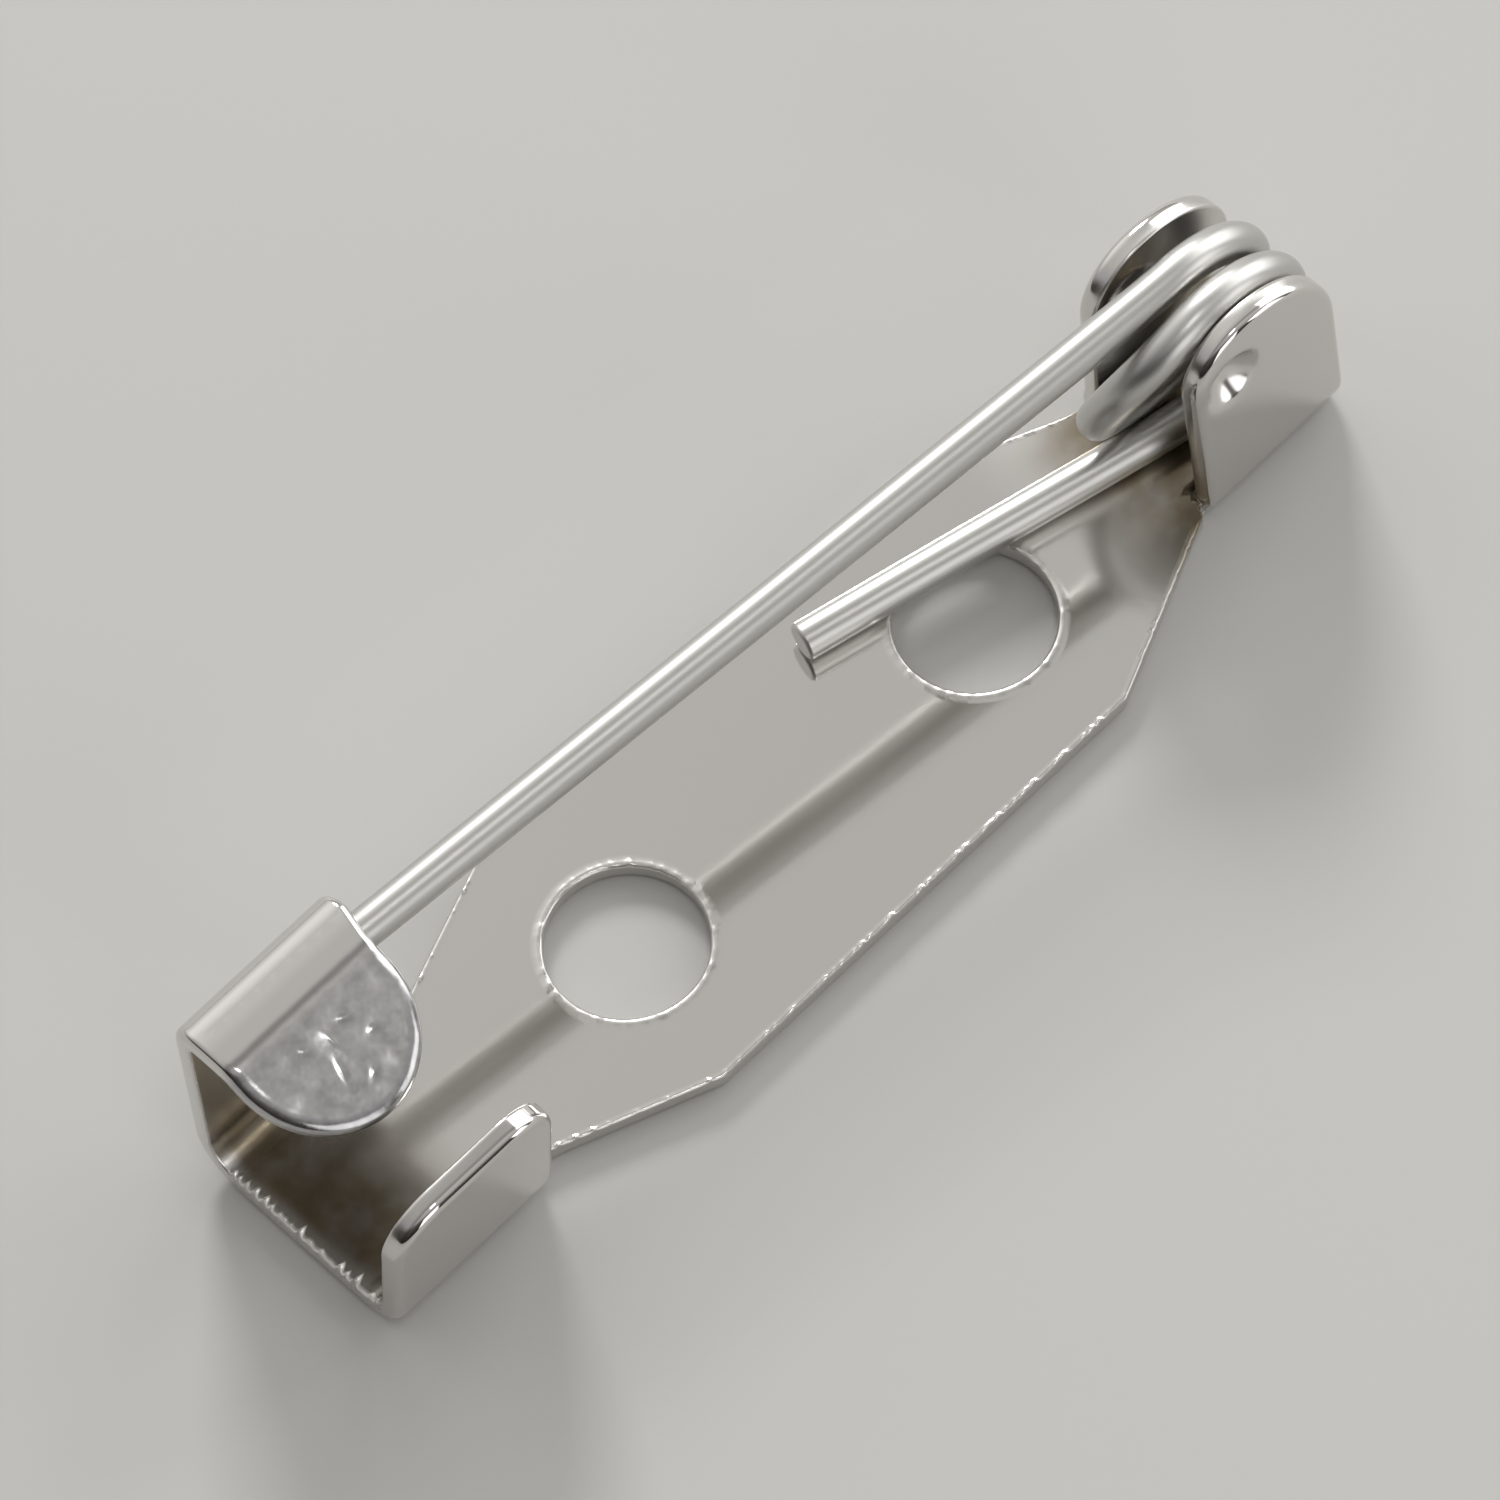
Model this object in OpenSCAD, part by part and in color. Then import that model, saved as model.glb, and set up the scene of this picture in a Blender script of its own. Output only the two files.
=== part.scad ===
// Brooch pin finding: a stamped sheet back with a hook, a guard and two ears,
// and one spring wire that is the pin stem, the coil and the short tail.
// Frame: +X runs from the hook end to the hinge end, +Y is the hook's side, +Z is up,
// and the plate's underside lies on z = 0. All sizes are in millimetres.

/* [Sheet back] */
// Length of the sheet from the hook end to the hinge end
plate_l = 19.9; // [19.5:0.1:20.5]
// Greatest width of the plate, between the two tapers
plate_w = 5; // [4.6:0.1:5.4]
// Thickness of the sheet
sheet_t = 0.35; // [0.3:0.01:0.4]
// Length of the full-width middle of the plate
middle_l = 8.2; // [7.6:0.1:8.8]
// Diameter of the two sewing holes
hole_d = 2.4; // [2:0.1:2.6]
// Distance between the centres of the two sewing holes
hole_pitch = 7.1; // [6.6:0.1:7.6]

/* [Hook and guard] */
// Length of the hook along the plate
hook_l = 3; // [2.6:0.1:3.1]
// Length of the guard along the plate
guard_l = 3.1; // [2.6:0.1:3.1]
// Distance from the plate's centre line to the outside of the hook's wall
hook_side = 2.2; // [2.1:0.05:2.3]
// Height of the hook's flat top over the underside of the plate
hook_h = 4.4; // [4.3:0.05:4.6]
// Width of the flat strip between the hook's fold and its crease
strip_w = 0.5; // [0.4:0.02:0.7]
// Reach of the tongue past the centre line, towards the guard
tongue_reach = 0.66; // [0.3:0.02:0.8]
// Slope of the tongue
tongue_slope = 24; // [15:1:30]
// Distance from the centre line to the foot of the guard, outside
guard_side = 1.96; // [1.85:0.02:2.1]
// Height of the guard
guard_h = 3.5; // [3.2:0.02:3.8]
// Lean of the guard, outwards
guard_lean = 6; // [0:1:8]

/* [Ears] */
// Distance from the centre line to the outside of an ear at its foot
ear_side = 1.31; // [1.3:0.01:1.36]
// Height of the ear on the guard's side
near_h = 4.28; // [4.1:0.02:4.4]
// Height of the ear on the hook's side
far_h = 4.12; // [4:0.02:4.4]
// Inward lean of the ear on the guard's side
near_lean = 3; // [0:0.2:3]
// Inward lean of the ear on the hook's side
far_lean = 0; // [0:0.2:1.6]
// Radius of an ear's head on the hook's side of its highest point
ear_r_inner = 1.06; // [0.9:0.02:1.2]
// Radius of an ear's head on the hinge end's side of its highest point
ear_r_outer = 1.72; // [1.6:0.02:1.8]
// Radius of the dimple that is pressed into each ear
dimple_r = 0.62; // [0.5:0.02:0.7]
// Depth of that dimple
dimple_depth = 0.26; // [0.2:0.02:0.3]
// Distance from the hinge end of the plate to the middle of the dimples
dimple_back = 2.06; // [2.02:0.01:2.1]
// Height of the middle of the dimples
dimple_z = 3.15; // [3.1:0.01:3.18]

/* [Wire] */
// Diameter of the spring wire
wire_d = 0.6; // [0.56:0.01:0.62]
// Distance from the hinge end of the plate to the axis of the coil
coil_back = 1.86; // [1.8:0.01:1.95]
// Height of the coil's axis
coil_z = 2.5; // [2.48:0.01:2.6]
// Radius of the coil, to the centre of the wire
coil_r = 1.65; // [1.6:0.01:1.66]
// Distance from the hook's outer end to the point
point_back = 0.6; // [0.4:0.1:1.2]
// Length of the ground point
point_l = 2.4; // [2:0.1:3]
// Distance from the coil's axis to the end of the tail, along the plate
tail_l = 6.6; // [5.5:0.05:6.8]
// Distance from the centre line to the end of the tail
tail_y = 1.42; // [0.9:0.02:1.6]

/* [Hidden] */
$fn = 64;

// Places along the plate: the whole part, with the coil, is centred on x = 0
coil_proud = 0.1;
hook_end_x = -(plate_l + coil_proud) / 2;
hook_inner_x = hook_end_x + hook_l;
guard_inner_x = hook_end_x + guard_l;
hinge_end_x = hook_end_x + plate_l;
ear_foot_x = hinge_end_x - ear_r_outer - ear_r_inner;
coil_x = hinge_end_x - coil_back;
dimple_x = hinge_end_x - dimple_back;
// Half width of the two necks, where the tapers end, and their distance from the walls
hook_neck = 1.45;
ear_neck = 1.24;
neck_gap = 0.12;

// Inside radii of the bends, and the number of flats that make up each bend
hook_bend = 0.55;
fold_bend = 0.15;
crease_bend = 0.3;
guard_bend = 0.5;
ear_bend = 0.25;
bend_steps = 8;

// Rounding of the guard's top corners, and of the tongue as seen from above
guard_r = 0.9;
tongue_r = 1.44;
// Extra length of a strip that an outline cuts back to its true end
cut_spare = 1;

// The dimple's mouth and floor, and the top of the bulge, as shares of its radius
dish_mouth = 0.82;
dish_floor = 0.45;
bulge_top = 0.6;

// Direction at the left hand of someone who walks at the heading a
function left(a) = [-sin(a), cos(a)];

// Stations [point, heading] along the outer face of a bent strip seen along X. The path lists
// [straight run, inside radius of the bend after it, turn of that bend], turns upwards
function stations(path, p = [0, 0], a = 0, i = 0) =
    let (r = path[i][1] + sheet_t, turn = path[i][2],
         q = p + path[i][0] * [cos(a), sin(a)], centre = q + r * left(a))
    i == len(path) - 1 ? [[p, a], [q, a]]
    : concat([[p, a]],
             [for (k = [0 : bend_steps - 1])
                 let (b = a + turn * k / bend_steps) [centre - r * left(b), b]],
             stations(path, centre - r * left(a + turn), a + turn, i + 1));

// The strip's section: out along its outer face, back along its inner face
module strip(path) {
    walk = stations(path);
    back = [for (i = [len(walk) - 1 : -1 : 0]) walk[i][0] + sheet_t * left(walk[i][1])];
    polygon(concat([for (w = walk) w[0]], back));
}

// A strip drawn out along X, on the hook's side or mirrored to the other
module drawn_strip(path, x0, x1, side) {
    translate([x0, 0, 0]) mirror([0, side < 0 ? 1 : 0, 0])
        rotate([90, 0, 90]) linear_extrude(x1 - x0) strip(path);
}

// Start of the bend of a wall that leans outwards from the foot at the given side
function flat_run(side, bend, lean) = side - (bend + sheet_t) * cos(lean);
// Path of such a wall, with spare length at the top
function wall_path(side, bend, lean, h) =
    [[flat_run(side, bend, lean), bend, 90 - lean], [h - bend + cut_spare, 0, 0]];

// Outline of a wall from x0 to x1 whose top corners have the radii r0 and r1
module round_topped(x0, x1, h, r0, r1) {
    wide = x1 - x0;
    difference() {
        translate([x0, -cut_spare]) square([wide, h + cut_spare]);
        translate([x0, h]) spandrel(r0, -1);
        translate([x1, h]) spandrel(r1, 1);
    }
}

// What a rounded corner takes away, with the corner itself at the origin
module spandrel(r, side) {
    mirror([side < 0 ? 1 : 0, 0]) difference() {
        translate([-r, -r]) square(r + cut_spare);
        translate([-r, -r]) circle(r = r);
        translate([-2 * r, -3 * r]) square([2 * r, 2 * r]);
    }
}

// A wall of the path, cut to its round-topped outline
module wall(path, x0, x1, h, r0, r1, side) {
    intersection() {
        drawn_strip(path, x0 - cut_spare, x1 + cut_spare, side);
        translate([0, plate_w, 0]) rotate([90, 0, 0])
            linear_extrude(2 * plate_w) round_topped(x0, x1, h, r0, r1);
    }
}

module flat_outline() {
    half = plate_w / 2;
    mid = middle_l / 2;
    hook_flat = flat_run(hook_side, hook_bend, 0);
    guard_flat = flat_run(guard_side, guard_bend, guard_lean);
    near_flat = flat_run(ear_side, ear_bend, -near_lean);
    far_flat = flat_run(ear_side, ear_bend, -far_lean);
    difference() {
        polygon([[hook_end_x, -guard_flat], [guard_inner_x, -guard_flat],
                 [guard_inner_x + neck_gap, -hook_neck], [-mid, -half], [mid, -half],
                 [ear_foot_x - neck_gap, -ear_neck], [ear_foot_x, -near_flat],
                 [hinge_end_x, -near_flat], [hinge_end_x, far_flat],
                 [ear_foot_x, far_flat], [ear_foot_x - neck_gap, ear_neck],
                 [mid, half], [-mid, half], [hook_inner_x + neck_gap, hook_neck],
                 [hook_inner_x, hook_flat], [hook_end_x, hook_flat]]);
        for (x = [-hole_pitch / 2, hole_pitch / 2]) translate([x, 0]) circle(d = hole_d);
    }
}

// Hook seen from above: the full length at the wall and the strip, and the round tongue
module hook_outline() {
    strip_y = hook_side - fold_bend - sheet_t;
    crease_y = strip_y - strip_w;
    tongue_y = tongue_r - tongue_reach;
    tongue_x = hook_end_x + 2 * tongue_r;
    translate([hook_end_x + tongue_r, tongue_y]) circle(r = tongue_r);
    polygon([[hook_end_x, tongue_y], [tongue_x, tongue_y], [tongue_x, crease_y],
             [hook_inner_x, strip_y], [hook_inner_x, plate_w], [hook_end_x, plate_w]]);
}

module hook() {
    rise = hook_h - hook_bend - fold_bend - 2 * sheet_t;
    path = [[flat_run(hook_side, hook_bend, 0), hook_bend, 90], [rise, fold_bend, 90],
            [strip_w, crease_bend, tongue_slope], [hook_side + tongue_reach, 0, 0]];
    low = hook_bend + sheet_t;
    intersection() {
        drawn_strip(path, hook_end_x, hook_inner_x, 1);
        union() {
            linear_extrude(2 * hook_h, center = true) hook_outline();
            translate([hook_end_x, 0, -low]) cube([hook_l, plate_w, 2 * low]);
        }
    }
}

module guard() {
    path = wall_path(guard_side, guard_bend, guard_lean, guard_h);
    wall(path, hook_end_x, guard_inner_x, guard_h, guard_r, guard_r, -1);
}

// One ear of the height h with its dimple; the lean is inwards, and the side is 1 or -1
module ear(side, lean, h) {
    path = wall_path(ear_side, ear_bend, -lean, h);
    // Outside of the ear at the height of the dimple
    out = ear_side - (dimple_z - (ear_bend + sheet_t) * (1 + sin(lean))) * tan(lean);
    difference() {
        union() {
            wall(path, ear_foot_x, hinge_end_x, h, ear_r_inner, ear_r_outer, side);
            at_dimple(side, out - sheet_t / 2)
                cylinder(h = sheet_t / 2 + dimple_depth, r1 = dimple_r,
                         r2 = dimple_r * bulge_top);
        }
        at_dimple(side, out + sheet_t)
            cylinder(h = sheet_t + dimple_depth,
                     r1 = dimple_r * (dish_mouth + dish_mouth - dish_floor),
                     r2 = dimple_r * dish_floor);
    }
}

// Puts a round piece at a dimple, at the distance y from the middle, pointing inwards
module at_dimple(side, y) {
    translate([dimple_x, side * y, dimple_z]) rotate([side * 90, 0, 0]) children();
}

module back_plate() {
    color("silver") {
        linear_extrude(sheet_t) flat_outline();
        hook();
        guard();
        ear(-1, near_lean, near_h);
        ear(1, far_lean, far_h);
    }
}

// Wire: sides of its section, and points along each stretch
sides = 16;
stem_steps = 20;
coil_step = 9;
tail_steps = 12;
wire_r = wire_d / 2;
point_r = 0.04;
// Gap that stays between the wire and the sheet where they touch
rub_gap = 0.03;
// Sideways places of the coil's first top and bottom, and of its second top and bottom
first_top_y = 0.26;
first_low_y = 0.56;
second_top_y = -0.45;
second_low_y = -0.14;
// Turns between which the first round spreads out, those between which it crosses over,
// and the turn at which the last round starts to come back
spread_turn = [50, 180];
cross_turn = [205, 345];
last_turn = 400;
// Drop of the last half round towards the plate
coil_drop = 0.12;
coil_turn = 538;
// Height of a wire that lies on the plate
low_z = sheet_t + wire_r + rub_gap;
// Stem where it slides under the hook, in the corner between the wall and the strip
latch = [hook_inner_x, hook_side - sheet_t - wire_r - rub_gap,
         hook_h - sheet_t - wire_r - rub_gap];
// End of the tail
tail_end = [coil_x - tail_l, tail_y, low_z];
// Length of straight run that each end of the stem and of the tail keeps
straight_l = 4;
blend_l = 0.9;

// Smooth step from 0 to 1 while v goes from a to b
function ramp(v, a, b) = let (u = max(0, min(1, (v - a) / (b - a)))) u * u * (3 - 2 * u);
// Growth from 0 to 1 that starts gently and ends at full pace
function pull(v, a, b) = let (u = max(0, min(1, (v - a) / (b - a)))) u * u;

// Middle of the coil's wire after a turn of the given angle from the stem
function coil_point(turn) =
    [coil_x + coil_r * sin(turn),
     first_top_y
     + (first_low_y - first_top_y) * ramp(turn, spread_turn[0], spread_turn[1])
     + (second_top_y - first_low_y) * ramp(turn, cross_turn[0], cross_turn[1])
     + (second_low_y - second_top_y) * pull(turn, last_turn, coil_turn),
     coil_z + coil_r * cos(turn) - coil_drop * ramp(turn, last_turn, coil_turn)];

// Point of a cubic curve at u, from its two ends and its two handles
function curve(a, b, c, d, u) =
    let (v = 1 - u) v * v * v * a + 3 * v * v * u * b + 3 * v * u * u * c + u * u * u * d;
function unit(v) = v / norm(v);

stem_root = coil_point(0);
stem_dir = unit(stem_root - latch);
point_x = hook_end_x + point_back;
point_start = latch + (point_x + point_l - hook_inner_x) / stem_dir[0] * stem_dir;
point_tip = latch + (point_x - hook_inner_x) / stem_dir[0] * stem_dir;
tail_root = coil_point(coil_turn);
tail_dir = unit(tail_end - tail_root);
// Headings of the coil's wire where the stem joins it and where the tail leaves it
root_dir = unit(coil_point(1) - stem_root);
leave_dir = unit(tail_root - coil_point(coil_turn - 1));

stem_points = [for (i = [0 : stem_steps - 1])
    curve(point_start, point_start + straight_l * stem_dir,
          stem_root - blend_l * root_dir, stem_root, i / stem_steps)];
coil_points = [for (a = [0 : coil_step : coil_turn - coil_step / 2]) coil_point(a)];
tail_points = [for (i = [0 : tail_steps])
    curve(tail_root, tail_root + blend_l * leave_dir,
          tail_end - straight_l * tail_dir, tail_end, i / tail_steps)];
route = concat([point_tip], stem_points, coil_points, tail_points);

// Direction of the route at the point i
function heading(p, i) = unit(p[min(i + 1, len(p) - 1)] - p[max(i - 1, 0)]);

// A solid of round section that follows the points p, thin at the first one
module swept(p) {
    rings = [for (i = [0 : len(p) - 1])
        let (t = heading(p, i), across = unit(cross(t, cross([0, 1, 0], t))),
             up = cross(t, across), r = i == 0 ? point_r : wire_r)
        for (k = [0 : sides - 1])
            p[i] + r * (cos(360 * k / sides) * across + sin(360 * k / sides) * up)];
    last = (len(p) - 1) * sides;
    walls = [for (i = [0 : len(p) - 2], k = [0 : sides - 1])
        let (a = i * sides + k, b = i * sides + (k + 1) % sides)
        each [[a, b + sides, b], [a, a + sides, b + sides]]];
    start_cap = [[for (k = [0 : sides - 1]) k]];
    end_cap = [[for (k = [sides - 1 : -1 : 0]) last + k]];
    polyhedron(rings, concat(walls, start_cap, end_cap));
}

module pin_wire() {
    color("gainsboro") swept(route);
}

back_plate();
pin_wire();
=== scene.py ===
# %% [markdown]
# Brooch pin finding
#
# A pin back is two pieces of metal. The sheet back is stamped flat from thin steel, bent up
# into a hook, a guard and two ears, and nickel plated. The pin is one length of spring wire,
# wound into a coil at the hinge. This lesson forms the sheet as the press does: it draws the
# flat blank first and bends it afterwards, so that every bend and every edge comes out round.

# %% Tools and the frame
import bpy
import math
import numpy as np
from mathutils import Matrix, Vector
from mathutils.geometry import delaunay_2d_cdt


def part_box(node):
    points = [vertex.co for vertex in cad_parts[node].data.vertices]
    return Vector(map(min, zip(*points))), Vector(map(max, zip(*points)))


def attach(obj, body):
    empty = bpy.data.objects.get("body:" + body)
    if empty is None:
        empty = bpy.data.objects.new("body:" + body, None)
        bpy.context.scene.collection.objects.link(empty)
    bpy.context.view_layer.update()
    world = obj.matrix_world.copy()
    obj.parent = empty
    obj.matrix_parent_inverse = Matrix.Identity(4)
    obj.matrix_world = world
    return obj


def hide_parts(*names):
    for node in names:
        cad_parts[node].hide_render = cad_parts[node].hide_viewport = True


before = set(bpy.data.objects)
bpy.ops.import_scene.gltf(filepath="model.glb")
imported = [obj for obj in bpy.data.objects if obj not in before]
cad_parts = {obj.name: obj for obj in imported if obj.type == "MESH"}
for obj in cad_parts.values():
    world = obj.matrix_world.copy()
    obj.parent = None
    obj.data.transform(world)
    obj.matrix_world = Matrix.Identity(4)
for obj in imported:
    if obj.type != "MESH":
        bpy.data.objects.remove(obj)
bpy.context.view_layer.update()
MM = 0.001

# %% [markdown]
# The sizes come first, in millimetres. They are the ones of the solid model, so the pieces
# made here lie on the solids they stand for.

# %% Sizes of the sheet
SHEET = 0.35
PLATE_W = 5.0
MIDDLE = 8.2
HOLE_D = 2.4
HOLE_PITCH = 7.1
back_low, back_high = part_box("back_plate")
HOOK_END = back_low.x / MM
HINGE_END = back_high.x / MM
HOOK_INNER = HOOK_END + 3.0
GUARD_INNER = HOOK_END + 3.1
NECK_GAP = 0.12
HOOK_NECK, EAR_NECK = 1.45, 1.24

# %% Sizes of the bent walls
HOOK_SIDE, HOOK_H = 2.2, 4.4
HOOK_BEND, FOLD_BEND, CREASE_BEND = 0.55, 0.15, 0.3
STRIP_W = 0.5
TONGUE_R, TONGUE_REACH, TONGUE_SLOPE = 1.44, 0.66, 24
GUARD_SIDE, GUARD_H, GUARD_LEAN, GUARD_BEND, GUARD_R = 1.96, 3.5, 6, 0.5, 0.9
EAR_SIDE, EAR_BEND = 1.31, 0.25
NEAR_H, NEAR_LEAN = 4.28, 3
FAR_H, FAR_LEAN = 4.12, 0
EAR_R = (1.06, 1.72)
EAR_FOOT = HINGE_END - sum(EAR_R)
DIMPLE_X, DIMPLE_Z = HINGE_END - 2.06, 3.15
DIMPLE_R, DIMPLE_DEPTH = 0.54, 0.29
# The two ears and the side of the middle on which each stands
EARS = (("near", -1), ("far", 1))

# %% Sizes of the wire
WIRE_R = 0.3
COIL_X = HINGE_END - 1.86
COIL_Z, COIL_R = 2.5, 1.65
POINT_X, POINT_L = HOOK_END + 0.6, 2.4
TAIL_X, TAIL_Y = COIL_X - 6.6, 1.42
RUB = 0.03

# %% [markdown]
# Seen from its end, each bent wall is a path: straight runs with a bend after each. The path
# here follows the middle of the sheet, because that layer keeps its length in a press, and
# the distance along it is the same in the flat blank.

# %% Paths of the walls
def flat_run(side, bend, lean):
    """Where the bend of a wall starts that leans outwards by the given angle."""
    return side - (bend + SHEET) * math.cos(math.radians(lean))


def arc(bend, turn):
    """Length of a bend along the middle of the sheet."""
    return (bend + SHEET / 2) * math.radians(turn)


SPARE = 1.0
hook_rise = HOOK_H - HOOK_BEND - FOLD_BEND - 2 * SHEET
paths = {
    "hook": [(flat_run(HOOK_SIDE, HOOK_BEND, 0), HOOK_BEND, 90), (hook_rise, FOLD_BEND, 90),
             (STRIP_W, CREASE_BEND, TONGUE_SLOPE), (3 * SPARE, 0, 0)],
    "guard": [(flat_run(GUARD_SIDE, GUARD_BEND, GUARD_LEAN), GUARD_BEND, 90 - GUARD_LEAN),
              (GUARD_H + SPARE, 0, 0)],
    "near": [(flat_run(EAR_SIDE, EAR_BEND, -NEAR_LEAN), EAR_BEND, 90 + NEAR_LEAN),
             (NEAR_H + SPARE, 0, 0)],
    "far": [(flat_run(EAR_SIDE, EAR_BEND, -FAR_LEAN), EAR_BEND, 90 + FAR_LEAN),
            (FAR_H + SPARE, 0, 0)],
}


def bent(path, s, n):
    """Sideways place and height of points at the distance s along a path, n off its middle."""
    y, z = np.array(s, float), np.zeros_like(s) + SHEET / 2 + n
    at, heading, start = np.array([0.0, SHEET / 2]), 0.0, 0.0
    for run, bend, turn in path:
        go = np.array([math.cos(heading), math.sin(heading)])
        left = np.array([-go[1], go[0]])
        inside = s >= start
        y = np.where(inside, at[0] + (s - start) * go[0] + n * left[0], y)
        z = np.where(inside, at[1] + (s - start) * go[1] + n * left[1], z)
        start, at = start + run, at + run * go
        if turn:
            radius = bend + SHEET / 2
            centre = at + radius * left
            angle = heading + (s - start) / radius
            inside = s >= start
            y = np.where(inside, centre[0] + (radius - n) * np.sin(angle), y)
            z = np.where(inside, centre[1] - (radius - n) * np.cos(angle), z)
            heading += math.radians(turn)
            start += arc(bend, turn)
            at = centre + radius * np.array([math.sin(heading), -math.cos(heading)])
    return y, z


def along_at_height(path, height):
    """Distance along a simple wall's path at which its middle reaches the height."""
    reach = np.linspace(path[0][0], path[0][0] + 6, 4001)
    return float(reach[np.argmin(np.abs(bent(path, reach, 0 * reach)[1] - height))])


print("guard's wall is", round(along_at_height(paths["guard"], GUARD_H), 2), "mm along")

# %% [markdown]
# The blank is one outline with rounded corners and two holes. Each corner of the list has its
# own radius: 1.44 mm twice makes the tongue's round end, and the ears' two radii meet at the
# top. The tongue is then stretched, because a sloping tongue looks shorter from above.

# %% Outline of the blank
ARC_STEP, OUTLINE_STEP, HOLE_SIDES = 0.05, 0.04, 150
NOTCH_R, NECK_R, TAPER_R, STRIP_R = 0.05, 0.08, 0.25, 0.3


def fillet(corners):
    """Points round a polygon whose corners (x, s, radius) are rounded."""
    out = []
    for i, (x, s, radius) in enumerate(corners):
        here = np.array([x, s])
        before = np.array(corners[i - 1][:2]) - here
        after = np.array(corners[(i + 1) % len(corners)][:2]) - here
        before, after = before / np.linalg.norm(before), after / np.linalg.norm(after)
        half = math.acos(float(np.clip(before @ after, -1, 1))) / 2
        middle = (before + after) / np.linalg.norm(before + after)
        centre = here + middle * radius / math.sin(half)
        first = here + before * radius / math.tan(half) - centre
        last = here + after * radius / math.tan(half) - centre
        a0, a1 = math.atan2(first[1], first[0]), math.atan2(last[1], last[0])
        sweep = (a1 - a0 + math.pi) % (2 * math.pi) - math.pi
        count = max(4, int(abs(sweep) * radius / ARC_STEP))
        for k in range(count + 1):
            a = a0 + sweep * k / count
            out.append(centre + radius * np.array([math.cos(a), math.sin(a)]))
    return np.array(out)


def spaced(loop, step):
    """The closed loop with points no further apart than the step."""
    out = []
    for a, b in zip(loop, np.roll(loop, -1, axis=0)):
        length = np.linalg.norm(b - a)
        if length < step / 10:
            continue
        count = max(1, int(math.ceil(length / step)))
        out += [a + (b - a) * k / count for k in range(count)]
    return np.array(out)


hook_flat = paths["hook"][0][0]
strip_start = hook_flat + arc(HOOK_BEND, 90) + hook_rise + arc(FOLD_BEND, 90)
crease = strip_start + STRIP_W
crease_y = HOOK_SIDE - FOLD_BEND - SHEET - STRIP_W
tongue_end = crease + crease_y + TONGUE_REACH
guard_top = along_at_height(paths["guard"], GUARD_H)
near_top = along_at_height(paths["near"], NEAR_H)
far_top = along_at_height(paths["far"], FAR_H)
half_w, half_m = PLATE_W / 2, MIDDLE / 2
TONGUE_X = HOOK_END + 2 * TONGUE_R
corners = [
    (HOOK_END, -guard_top, GUARD_R), (GUARD_INNER, -guard_top, GUARD_R),
    (GUARD_INNER, -paths["guard"][0][0], NOTCH_R),
    (GUARD_INNER + NECK_GAP, -HOOK_NECK, NECK_R),
    (-half_m, -half_w, TAPER_R), (half_m, -half_w, TAPER_R),
    (EAR_FOOT - NECK_GAP, -EAR_NECK, NECK_R), (EAR_FOOT, -paths["near"][0][0], NOTCH_R),
    (EAR_FOOT, -near_top, EAR_R[0]), (HINGE_END, -near_top, EAR_R[1]),
    (HINGE_END, far_top, EAR_R[1]), (EAR_FOOT, far_top, EAR_R[0]),
    (EAR_FOOT, paths["far"][0][0], NOTCH_R), (EAR_FOOT - NECK_GAP, EAR_NECK, NECK_R),
    (half_m, half_w, TAPER_R), (-half_m, half_w, TAPER_R),
    (HOOK_INNER + NECK_GAP, HOOK_NECK, NECK_R), (HOOK_INNER, hook_flat, NOTCH_R),
    (HOOK_INNER, strip_start, STRIP_R), (TONGUE_X, crease, STRIP_R),
    (TONGUE_X, tongue_end, TONGUE_R), (HOOK_END, tongue_end, TONGUE_R),
]
outline = fillet(corners)
beyond = outline[:, 1] > crease
stretch = 1 / math.cos(math.radians(TONGUE_SLOPE))
outline[beyond, 1] = crease + (outline[beyond, 1] - crease) * stretch
outline = spaced(outline, OUTLINE_STEP)
ring = np.linspace(0, -2 * math.pi, HOLE_SIDES, endpoint=False)
round_hole = HOLE_D / 2 * np.stack([np.cos(ring), np.sin(ring)], 1)
holes = [round_hole + [x, 0] for x in (-HOLE_PITCH / 2, HOLE_PITCH / 2)]
print("outline of", len(outline), "points")

# %% [markdown]
# A punch leaves each edge with a round shoulder on the side it enters, and a raised, torn burr
# where it comes out. Here the punch came from the back, so the burr stands on the front of the
# plate and glitters there, and the bent walls show their round shoulders outside. The rim is a
# stack of rings: flat border, burr, cut, and the quarter round at the back.

# %% Rim of the blank
ROLL, BURR_WIDE, TORN_SIZE = 0.14, 0.1, 0.17
BURR_ON_PLATE, BURR_ON_END, BURR_ON_HOLE = 0.026, 0.07, 0.026
# The lip of a hole, how low its lumps sink, and how much wider the teeth of the torn end are
LIP_WIDE, LIP_LEAST, TOOTH_WIDER = 0.19, 0.4, 1.2
# Near a sharp inner corner the rings shrink, to this share at the corner itself
EASE_REACH, EASE_LEAST = 0.35, 0.2
# The shoulder grows wider from the crease to the tongue
TONGUE_ROLL, TONGUE_RAMP = 0.7, 0.3
# How far in from the hook's end, and how far past the floor's sides, the torn end reaches
TORN_IN, TORN_SIDE = 0.05, 0.3
ROLL_STEPS = 6


def outward(loop):
    """Unit normals of a loop that has the metal on its left."""
    along = np.roll(loop, -1, axis=0) - np.roll(loop, 1, axis=0)
    along /= np.linalg.norm(along, axis=1)[:, None]
    return np.stack([along[:, 1], -along[:, 0]], 1)


def waves(p, size, seed):
    """Smooth noise between about -1 and 1 whose lumps are as wide as the size."""
    rng = np.random.default_rng(seed)
    total = np.zeros(len(p))
    for k in range(9):
        turn = rng.normal(size=p.shape[1])
        turn *= rng.uniform(0.6, 1.6) * 2 * math.pi / size / np.linalg.norm(turn)
        total += np.sin(p @ turn + rng.uniform(0, 2 * math.pi))
    return total / 4


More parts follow.
